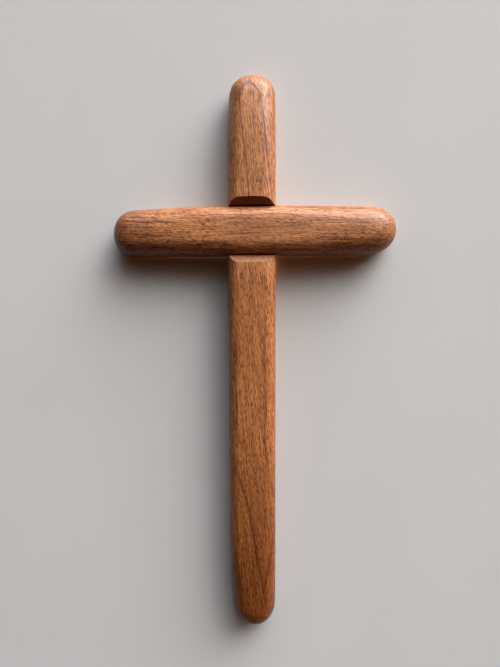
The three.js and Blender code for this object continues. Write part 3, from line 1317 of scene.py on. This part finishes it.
        bar.edges(across)
        bpy.ops.mesh.dissolve_edges(use_verts=False)
        bar.faces(lambda face: len(face.verts) > 4)
        bpy.ops.mesh.poke(center_mode="BOUNDS")
        for _, tip, inward in self.tips():
            x = tip + inward * self.fan_length / 2
            bar.points(lambda p: abs(p.x - x) < self.fan_centre and abs(p.z) < self.fan_centre
                       and -self.thickness + TOUCHING < p.y < -self.thickness / 2)
            mesh = bmesh.from_edit_mesh(bar.piece.data)
            for vert in mesh.verts:
                if vert.select:
                    bar.move((0, -self.thickness + self.fall(vert.co.x) - vert.co.y, 0))

    def _round_edges(self, bar: Blank) -> None:
        """Rounds the front and back edges of the outline, more towards the ends.

        Args:
            bar: The bar, open for edits.
        """
        mesh = bmesh.from_edit_mesh(bar.piece.data)
        weight = (mesh.edges.layers.float.get("bevel_weight_edge")
                  or mesh.edges.layers.float.new("bevel_weight_edge"))
        middle_depth = -self.thickness / 2
        for edge in mesh.edges:
            a, b = (vert.co for vert in edge.verts)
            if abs(a.x - b.x) < TOUCHING or (a.y < middle_depth) != (b.y < middle_depth):
                continue
            if self.on_outline(a) and self.on_outline(b):
                x = (a.x + b.x) / 2
                front = a.y < middle_depth
                wanted = self.front_round(x) if front else self.back_edge_round(x)
                edge[weight] = wanted / self.end_round
        bmesh.update_edit_mesh(bar.piece.data)
        bar.modify("BEVEL", width=self.end_round, segments=self.round_segments,
                   limit_method="WEIGHT", use_clamp_overlap=False)

    def _is_front(self, face: bmesh.types.BMFace) -> bool:
        """True for a face in front of the back edges' zone."""
        return face.calc_center_median().y < -self.back_zone

    def _crown_front(self, bar: Blank) -> None:
        """Sands the front into a crown: its edges lie lower than its middle.

        Args:
            bar: The bar, open for edits.
        """
        rows = int(self.width / 2 / self.fine_step)
        bar.saw([row * self.fine_step for row in range(-rows, rows + 1)], (0, 0, 1),
                self._is_front)
        steps = range(1, int(self.fan_length / self.fine_step) + 1)
        for _, tip, inward in self.tips():
            bar.saw([tip + inward * self.fine_step * i for i in steps], (1, 0, 0),
                    self._is_front)
        stations = [-self.low_arm, *self.stations(), self.high_arm]
        edges = [self.outline(x) for x in stations]
        half = self.width / 2
        low = [Vector((x, m - s * half)) for x, (m, s) in zip(stations, edges)]
        high = [Vector((x, m + s * half)) for x, (m, s) in zip(stations, edges)]
        deepest = max(self.low_end.crown, self.high_end.crown)
        piece = bar.close()
        group = piece.vertex_groups.new(name="crown")
        for vert in piece.data.vertices:
            if vert.co.y > -self.back_zone:
                continue
            place = Vector((vert.co.x, vert.co.z))
            inset = min(distance_to_path(place, low), distance_to_path(place, high))
            share = self.rim_drop(place.x) / deepest * max(1 - inset / half, 0.0) ** 2
            group.add([vert.index], share, "REPLACE")
        bar.modify("DISPLACE", direction="Y", strength=deepest, mid_level=0.0,
                   vertex_group=group.name)


# The joint and the hanger


@dataclass(frozen=True)
class Lap:
    """The lap joint's sizes, shared by both bars, and the dowel that locks it."""

    depth: float = 9 * MM
    chamfer: float = 3.7 * MM
    gap: float = 0.1 * MM
    past: float = 2 * MM
    arris: float = 0.28 * MM
    sharpest: float = 32.0
    dowel_radius: float = 3 * MM
    dowel_fit: float = 0.15 * MM
    dowel_cover: float = 4 * MM
    dowel_inset: float = 0.4 * MM
    dowel_chamfer: float = 0.6 * MM
    dowel_sharpest: float = 60.0
    dowel_steps: int = 3
    dowel_sides: int = 72
    flute_every: int = 4
    flute_margin: float = 1.2 * MM
    flute_share: float = 0.94

    def dowel_hole(self, thickness: float, height: float) -> Blank:
        """The cutter for the dowel's hole, from the back."""
        return Blank.rod("dowel_cutter", self.dowel_radius + self.dowel_fit, -self.past,
                         thickness - self.dowel_cover + self.dowel_fit, height)

    def dowel(self, thickness: float, height: float) -> Blank:
        """Turns the dowel, chamfers both ends and flutes its side.

        Args:
            thickness: The bars' thickness.
            height: The height of the crossing.

        Returns:
            The dowel, open for edits.
        """
        nearest, farthest = self.dowel_inset, thickness - self.dowel_cover
        dowel = Blank.rod("dowel_peg", self.dowel_radius, nearest, farthest, height,
                          self.dowel_sides)
        sharpest = math.radians(self.dowel_sharpest)
        dowel.edges(lambda edge: edge.calc_face_angle(0.0) > sharpest)
        bpy.ops.mesh.bevel(offset=self.dowel_chamfer, segments=self.dowel_steps, affect="EDGES")
        back, front = -(nearest + self.flute_margin), -(farthest - self.flute_margin)
        dowel.saw([back, front], (0, 1, 0))
        step = 2 * math.pi / self.dowel_sides

        def in_flute(p: Vector) -> bool:
            """True for every fourth row of points between the two sawn lines."""
            row = round(math.atan2(p.x, p.z - height) / step - 0.5)
            return front - TOUCHING < p.y < back + TOUCHING and row % self.flute_every == 0

        dowel.points(in_flute)
        dowel.swell(self.flute_share, height)
        return dowel


@dataclass(frozen=True)
class Hanger:
    """The keyhole plate, its two screws and what they need in the staff's back."""

    plate_length: float = 40 * MM
    plate_width: float = 14 * MM
    plate_thickness: float = 1.5 * MM
    plate_arris: float = 0.15 * MM
    plate_sharpest: float = 40.0
    inset: float = 0.3 * MM
    fit: float = 0.3 * MM
    seat: float = 0.1 * MM
    slot_width: float = 5 * MM
    entry_diameter: float = 9 * MM
    entry_drop: float = 9 * MM
    round_sides: int = 64
    pocket_room: float = 0.6 * MM
    pocket_depth: float = 6 * MM
    screw_spacing: float = 30 * MM
    screw_length: float = 12 * MM
    screw_fit: float = 0.2 * MM
    screw_arris: float = 0.06 * MM
    screw_sharpest: float = 35.0
    head_diameter: float = 6.4 * MM
    head_rim: float = 0.25 * MM
    cone: float = 1.6 * MM
    shank_diameter: float = 3.2 * MM
    point: float = 3 * MM
    point_share: float = 0.04
    drive_width: float = 0.9 * MM
    drive_span: float = 3.4 * MM
    drive_depth: float = 1.1 * MM
    drive_taper: float = 0.8
    past: float = 2 * MM

    @property
    def plate_centre(self) -> float:
        """The plate's middle height: its keyhole is centred on its length."""
        return -(self.entry_drop + self.entry_diameter / 2 - self.slot_width / 2) / 2

    @property
    def floor(self) -> float:
        """How deep the plate's inner face lies."""
        return self.inset + self.plate_thickness

    def screw_heights(self) -> dict[str, float]:
        """Works out where the two screws go.

        Returns:
            The height of each screw's axis by its CAD node.
        """
        half = self.screw_spacing / 2
        return {"hanger_screw_upper": self.plate_centre + half,
                "hanger_screw_lower": self.plate_centre - half}

    def round_ended(self, name: str, width: float, length: float, nearest: float,
                    farthest: float, height: float) -> Blank:
        """A slab with round ends that stands on end: a disc pulled apart.

        Args:
            name: The new object's name.
            width: The slab's width.
            length: Its length from end to end.
            nearest: Where it starts in front of the back plane.
            farthest: Where it ends in front of the back plane.
            height: The height of its middle.

        Returns:
            The slab, open for edits.
        """
        slab = Blank.rod(name, width / 2, nearest, farthest, height, self.round_sides)
        pull = (length - width) / 2
        slab.points(lambda p: p.z > height)
        slab.move((0, 0, pull))
        slab.points(lambda p: p.z < height)
        slab.move((0, 0, -pull))
        return slab

    def countersink(self, height: float) -> Blank:
        """The cutter for a screw's hole in the plate and the wood.

        Args:
            height: The height of the screw's axis.

        Returns:
            The cutter.
        """
        shank = self.shank_diameter / 2 + self.screw_fit
        head = self.head_diameter / 2 + self.screw_fit
        cone_top = self.inset + self.head_rim
        hole = Blank.rod("screw_cutter", shank, -self.past,
                         self.inset + self.screw_length + self.screw_fit, height)
        hole.saw([-(cone_top + self.cone), -cone_top], (0, 1, 0))
        hole.points(lambda p: p.y > -cone_top - TOUCHING)
        hole.swell(head / shank, height)
        return hole

    def recess(self) -> list[Blank]:
        """The cutters for the plate's bed and for the pocket behind the keyhole.

        Returns:
            The two cutters.
        """
        bed_depth = self.floor + self.seat
        bed = self.round_ended("bed_cutter", self.plate_width + 2 * self.fit,
                               self.plate_length + 2 * self.fit, -self.past, bed_depth,
                               self.plate_centre)
        width = self.entry_diameter + 2 * self.pocket_room
        pocket = self.round_ended("pocket_cutter", width, self.entry_drop + width, 0,
                                  bed_depth + self.pocket_depth, -self.entry_drop / 2)
        return [bed, pocket]

    def keyhole(self) -> list[Blank]:
        """The cutters for the keyhole's slot and its entry.

        Returns:
            The two cutters.
        """
        through = self.floor + self.past
        slot = self.round_ended("slot_cutter", self.slot_width, self.entry_drop + self.slot_width,
                                -self.past, through, -self.entry_drop / 2)
        entry = Blank.rod("entry_cutter", self.entry_diameter / 2, -self.past, through,
                          -self.entry_drop, self.round_sides)
        return [slot, entry]

    def plate(self) -> Blank:
        """The plate with its keyhole and countersinks, its edges eased.

        Returns:
            The plate, open for edits.
        """
        plate = self.round_ended("keyhole_plate", self.plate_width, self.plate_length,
                                 self.inset, self.floor, self.plate_centre)
        plate.cut(*self.keyhole())
        for height in self.screw_heights().values():
            plate.cut(self.countersink(height))
        plate.soften(self.plate_arris, self.plate_sharpest)
        return plate

    def screw(self, name: str, height: float) -> Blank:
        """One countersunk screw: head, cone, shank and point drawn out of a disc.

        Args:
            name: The new object's name.
            height: The height of its axis.

        Returns:
            The screw, open for edits.
        """
        head = self.head_diameter / 2
        screw = Blank.rod(name, head, self.inset, self.inset + self.head_rim, height)
        shank = self.screw_length - self.head_rim - self.cone - self.point
        screw.front_face()
        for length, share in ((self.cone, self.shank_diameter / 2 / head), (shank, 1.0),
                              (self.point, self.point_share)):
            screw.draw_out(length)
            screw.swell(share, height)
        bottom = -self.inset - self.drive_depth
        for width, span in ((self.drive_width, self.drive_span),
                            (self.drive_span, self.drive_width)):
            tool = Blank.block("drive_cutter", (-width / 2, bottom, height - span / 2),
                               (width / 2, self.past, height + span / 2))
            tool.points(lambda p: p.y < 0)
            tool.swell(self.drive_taper, height)
            screw.cut(tool)
        screw.soften(self.screw_arris, self.screw_sharpest, segments=1)
        return screw


@dataclass
class Cross:
    """The whole wall cross: its boards, its dowel and its hanger."""

    lap: Lap = Lap()
    hanger: Hanger = Hanger()
    foot: End = End(dome=12.8 * MM, squareness=2.0, high_draw=2.5 * MM, high_reach=50 * MM,
                    low_draw=0.4 * MM, low_reach=30 * MM, fall=3.5 * MM, fall_reach=60 * MM,
                    crown=2.0 * MM, crown_from=8 * MM, crown_to=44 * MM)
    top: End = End(dome=11.5 * MM, squareness=2.2, high_draw=0.85 * MM, high_reach=34 * MM,
                   low_draw=0.4 * MM, low_reach=34 * MM, fall=4.0 * MM, fall_reach=34 * MM,
                   crown=2.2 * MM, crown_from=8 * MM, crown_to=40 * MM)
    left: End = End(dome=11 * MM, squareness=2.1, high_draw=2.0 * MM, high_reach=40 * MM,
                    low_draw=0.1 * MM, low_reach=16 * MM, fall=1.3 * MM, fall_reach=26 * MM,
                    crown=3.5 * MM, crown_from=22 * MM, crown_to=56 * MM)
    right: End = End(dome=13.4 * MM, squareness=2.15, high_draw=0.9 * MM, high_reach=26 * MM,
                     low_draw=1.9 * MM, low_reach=26 * MM, fall=1.3 * MM, fall_reach=26 * MM,
                     crown=3.5 * MM, crown_from=24 * MM, crown_to=58 * MM)
    lower_round: float = 5.8 * MM
    shoulder_round: float = 3.6 * MM
    upper_round: float = 7.0 * MM
    staff_crown: float = 0.9 * MM
    crossbar_round: float = 7.5 * MM
    crossbar_crown: float = 0.3 * MM

    def __post_init__(self) -> None:
        """Reads the bars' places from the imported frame."""
        self.staff_low, self.staff_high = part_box("staff")
        self.bar_low, self.bar_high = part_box("crossbar")
        self.height = (self.bar_low.z + self.bar_high.z) / 2
        self.thickness = self.staff_high.y - self.staff_low.y
        self.staff_width = self.staff_high.x - self.staff_low.x
        self.bar_width = self.bar_high.z - self.bar_low.z

    def staff_bar(self) -> Bar:
        """Gathers the upright bar's sizes.

        Returns:
            The bar, not made yet.
        """
        return Bar(
            name="staff_bar", width=self.staff_width, thickness=self.thickness,
            low_arm=self.height - self.staff_low.z, high_arm=self.staff_high.z - self.height,
            low_end=self.foot, high_end=self.top, low_round=self.lower_round,
            shoulder_round=self.shoulder_round, high_round=self.upper_round,
            crown=self.staff_crown,
        )

    def level_bar(self) -> Bar:
        """Gathers the crossbar's sizes.

        Returns:
            The bar, not made yet.
        """
        return Bar(
            name="crossbar_bar", width=self.bar_width, thickness=self.thickness,
            low_arm=-self.bar_low.x, high_arm=self.bar_high.x,
            low_end=self.left, high_end=self.right, low_round=self.crossbar_round,
            shoulder_round=self.crossbar_round, high_round=self.crossbar_round,
            crown=self.crossbar_crown,
        )

    def seat(self, bar: Blank, upright: bool) -> None:
        """Turns a bar on end if it is the staff, and lifts it to the crossing.

        Args:
            bar: The bar, open for edits.
            upright: True for the staff.
        """
        piece = bar.close()
        pick_up(piece)
        piece.rotation_euler.y = -math.pi / 2 if upright else 0.0
        piece.location.z = self.height
        settle()
        bar.open()

    def staff(self) -> Blank:
        """The staff with its notch, its chamfered shoulders and the hanger's bed.

        Returns:
            The staff, open for edits.
        """
        staff = self.staff_bar().make()
        self.seat(staff, upright=True)
        staff.cut(self._notch(), self.lap.dowel_hole(self.thickness, self.height),
                  *self.hanger.recess())
        for height in self.hanger.screw_heights().values():
            staff.cut(self.hanger.countersink(height))

        def by_lap(edge: bmesh.types.BMEdge) -> bool:
            """True for an edge within a crossbar's width of the crossing."""
            middle = (edge.verts[0].co.z + edge.verts[1].co.z) / 2
            return abs(middle - self.height) < self.bar_width

        staff.soften(self.lap.arris, self.lap.sharpest, test=by_lap)
        return staff

    def _notch(self) -> Blank:
        """The cutter across the staff's front, flared where it leaves the shoulders.

        Returns:
            The cutter.
        """
        lap = self.lap
        half = self.bar_width / 2 + lap.gap
        wide = self.staff_width / 2 + lap.past
        out = lap.chamfer + lap.past
        notch = Blank.block("notch_cutter",
                            (-wide, -(self.thickness - lap.chamfer), self.height - half),
                            (wide, -(self.thickness - lap.depth), self.height + half))
        notch.front_face()
        notch.draw_out(out)
        notch.scale((1, 1, (half + out) / half), (0, 0, self.height))
        return notch

    def crossbar(self) -> Blank:
        """The crossbar with the notch across its back.

        Returns:
            The crossbar, open for edits.
        """
        lap = self.lap
        bar = self.level_bar().make()
        self.seat(bar, upright=False)
        wide = self.staff_width / 2 + lap.gap
        floor = -(self.thickness - lap.depth + lap.gap)
        notch = Blank.block("lap_cutter", (-wide, floor, self.height - self.bar_width),
                            (wide, lap.past, self.height + self.bar_width))
        bar.cut(notch, lap.dowel_hole(self.thickness, self.height))
        return bar

    def build(self) -> None:
        """Makes, dresses and seats every piece."""
        board = (self.height, self.thickness)
        staff_beech = StaffBeech("oiled_beech_staff", Run.UPRIGHT, *board)
        bar_beech = CrossbarBeech("oiled_beech_crossbar", Run.LEVEL, *board)
        peg_beech = Beech("bare_beech_dowel", Run.UPRIGHT, *board, pale="d8ad80",
                          deep="b98658", ring_spacing=1.2, seed=57.0)
        zinc = Steel("zinc_plated_plate")
        yellow = Steel("yellow_passivated_screws", pale="d9c27a", deep="a88f4c", rough=0.3)
        Finish("staff", "beech_staff", staff_beech.material()).dress(self.staff())
        Finish("crossbar", "beech_crossbar", bar_beech.material()).dress(self.crossbar())
        dowel = self.lap.dowel(self.thickness, self.height)
        Finish("lap_dowel", "beech_dowel", peg_beech.material()).dress(dowel)
        Finish("hanger_plate", "plate_steel", zinc.material()).dress(self.hanger.plate())
        screw_steel = yellow.material()
        for node, height in self.hanger.screw_heights().items():
            screw = self.hanger.screw(node.replace("hanger_screw", "screw"), height)
            Finish(node, "screw_steel", screw_steel).dress(screw)


# The studio


@dataclass(frozen=True)
class Lamp:
    """A square soft lamp that looks at the cross."""

    name: str
    place: Triple
    size: float
    power: float
    colour: Triple = WHITE
    target: Triple = (0.0, 0.0, -0.1)

    def hang(self) -> None:
        """Hangs the lamp and turns it to the cross."""
        put_down()
        bpy.ops.object.light_add(type="AREA", location=self.place)
        lamp = bpy.context.object
        lamp.name = self.name
        lamp.data.energy = self.power
        lamp.data.size = self.size
        lamp.data.color = self.colour
        aim = Vector(self.target) - lamp.location
        lamp.rotation_euler = aim.to_track_quat("-Z", "Y").to_euler()


@dataclass(frozen=True)
class Sky:
    """Soft light that grows towards overhead, and a plain pale surround for the camera.

    The light from below the horizon is a level. The front and the overhead light are added
    above it, and all three are scaled from the far left to the far right.
    """

    ground: float = 0.11
    front: float = 0.72
    front_span: Pair = (0.05, 0.55)
    overhead: float = 10.8
    overhead_span: Pair = (0.5, 0.95)
    sides: Pair = (0.08, 1.75)
    side_span: Pair = (-0.38, 0.82)
    behind_span: Pair = (-0.1, 0.1)
    ground_tone: str = "da8034"
    sky_tone: str = "f2f6ff"
    far_tone: str = "d6d5d1"

    def light(self) -> None:
        """Makes the world and its light."""
        world = bpy.data.worlds.new("studio")
        world.use_nodes = True
        bpy.context.scene.world = world
        shop = FinishShop(world.node_tree)
        x, y, z = shop.coordinates("Generated")
        upward = z.rise(*self.front_span)
        level = upward * self.front + z.rise(*self.overhead_span) * self.overhead + self.ground
        soft = shop.node("ShaderNodeBackground", {
            0: shop.blend(upward, tone(self.ground_tone), tone(self.sky_tone)),
            1: level * x.rise(*self.side_span).between(*self.sides),
        })
        pale = shop.node("ShaderNodeBackground", {0: tone(self.far_tone), 1: 1.0})
        camera, straight = straight_looks(shop)
        seen = camera.most(straight * y.rise(*self.behind_span))
        shop.finish(shop.mixed(seen, soft, pale))


def straight_looks(shop: FinishShop) -> tuple[Amount, Amount]:
    """Tells a look at the studio from soft light.

    Args:
        shop: The tree that is being built.

    Returns:
        1 for what the camera sees itself, and 1 for what it sees also in metal or through
        glass. Both are 0 for soft light.
    """
    path = shop.node("ShaderNodeLightPath").outputs
    camera = Amount(shop, path["Is Camera Ray"])
    mirrored = camera.most(Amount(shop, path["Is Glossy Ray"]))
    return camera, mirrored.most(Amount(shop, path["Is Transmission Ray"]))


@dataclass(frozen=True)
class Studio:
    """The pale wall behind the cross, the lamps, the sky and the camera."""

    wall_tone: str = "c4c2be"
    wall_tone_pale: str = "cac8c4"
    wall_bounce: str = "6c5440"
    wall_cloud: Triple = (60.0, 60.0, 60.0)
    wall_rough: float = 0.9
    wall_gloss: float = 0.1
    wall_gap: float = 0.4 * MM
    wall_size: float = 6.0
    see_through: float = 5 * MM
    see_through_edge: float = 0.9
    sky: Sky = Sky()
    lamps: tuple[Lamp, ...] = (
        Lamp("key", (1.2, -0.65, 1.25), 1.3, 34, (1.0, 0.985, 0.96)),
        Lamp("rim", (0.25, 0.6, 1.4), 1.2, 27),
        Lamp("back", (0.9, 0.75, 0.7), 0.9, 14),
    )
    camera_place: Triple = (0.01009, -0.2779, -0.0830)
    camera_yaw: float = -2.42
    camera_pitch: float = -4.13
    camera_roll: float = -0.15
    camera_film: float = 36.0
    picture_height: float = 667.0
    focal_length: float = 500.0
    camera_range: Pair = (0.01, 50.0)

    def wall(self) -> None:
        """A plain wall that touches the cross's back and is seen from its front only."""
        put_down()
        bpy.ops.mesh.primitive_grid_add(x_subdivisions=2, y_subdivisions=2, size=self.wall_size,
                                        location=(0, self.wall_gap, 0),
                                        rotation=(math.pi / 2, 0, 0))
        wall = bpy.context.object
        wall.name = "wall"
        settle()
        shop = FinishShop.for_material("pale_wall")
        cloud = shop.noise(shop.pattern(shop.place(), self.wall_cloud), detail=3.0)
        seen = shop.blend(cloud, tone(self.wall_tone), tone(self.wall_tone_pale))
        _, straight = straight_looks(shop)
        plaster = shop.node("ShaderNodeBsdfPrincipled", {
            "Base Color": shop.blend(straight, tone(self.wall_bounce), seen),
            "Roughness": self.wall_rough, "Specular IOR Level": self.wall_gloss,
        })
        clear = shop.node("ShaderNodeBsdfTransparent")
        behind = Amount(shop, shop.node("ShaderNodeNewGeometry").outputs["Backfacing"])
        length = Amount(shop, shop.node("ShaderNodeLightPath").outputs["Ray Length"])
        close = length.rise(self.see_through, self.see_through * self.see_through_edge)
        shop.finish(shop.mixed(behind.most(close), plaster, clear))
        wall.data.materials.append(shop.material)

    def camera(self) -> None:
        """The photograph's view: close, a little below the crossbar and right of the staff."""
        yaw, pitch, roll = (math.radians(angle) for angle in (
            self.camera_yaw, self.camera_pitch, self.camera_roll))
        forward = Vector((math.sin(yaw) * math.cos(pitch), math.cos(yaw) * math.cos(pitch),
                          math.sin(pitch)))
        level = Vector((math.cos(yaw), -math.sin(yaw), 0))
        right = math.cos(roll) * level + math.sin(roll) * level.cross(forward)
        up = right.cross(forward)
        bpy.ops.object.camera_add(location=self.camera_place)
        camera = bpy.context.object
        camera.name = "camera"
        turn = [[right[i], up[i], -forward[i]] for i in range(3)]
        camera.rotation_mode = "QUATERNION"
        camera.rotation_quaternion = Matrix(turn).to_quaternion()
        camera.data.sensor_width = self.camera_film
        camera.data.lens = self.camera_film * self.focal_length / self.picture_height
        camera.data.clip_start, camera.data.clip_end = self.camera_range
        bpy.context.scene.camera = camera

    def build(self) -> None:
        """Sets up the wall, the light and the camera."""
        self.wall()
        self.sky.light()
        for lamp in self.lamps:
            lamp.hang()
        self.camera()
        bpy.context.scene.view_settings.view_transform = "Standard"


def main() -> None:
    """Builds the studio and the cross, in that order."""
    logging.basicConfig(level=logging.INFO, format="%(name)s: %(message)s")
    Studio().build()
    Cross().build()


if __name__ == "__main__":
    main()
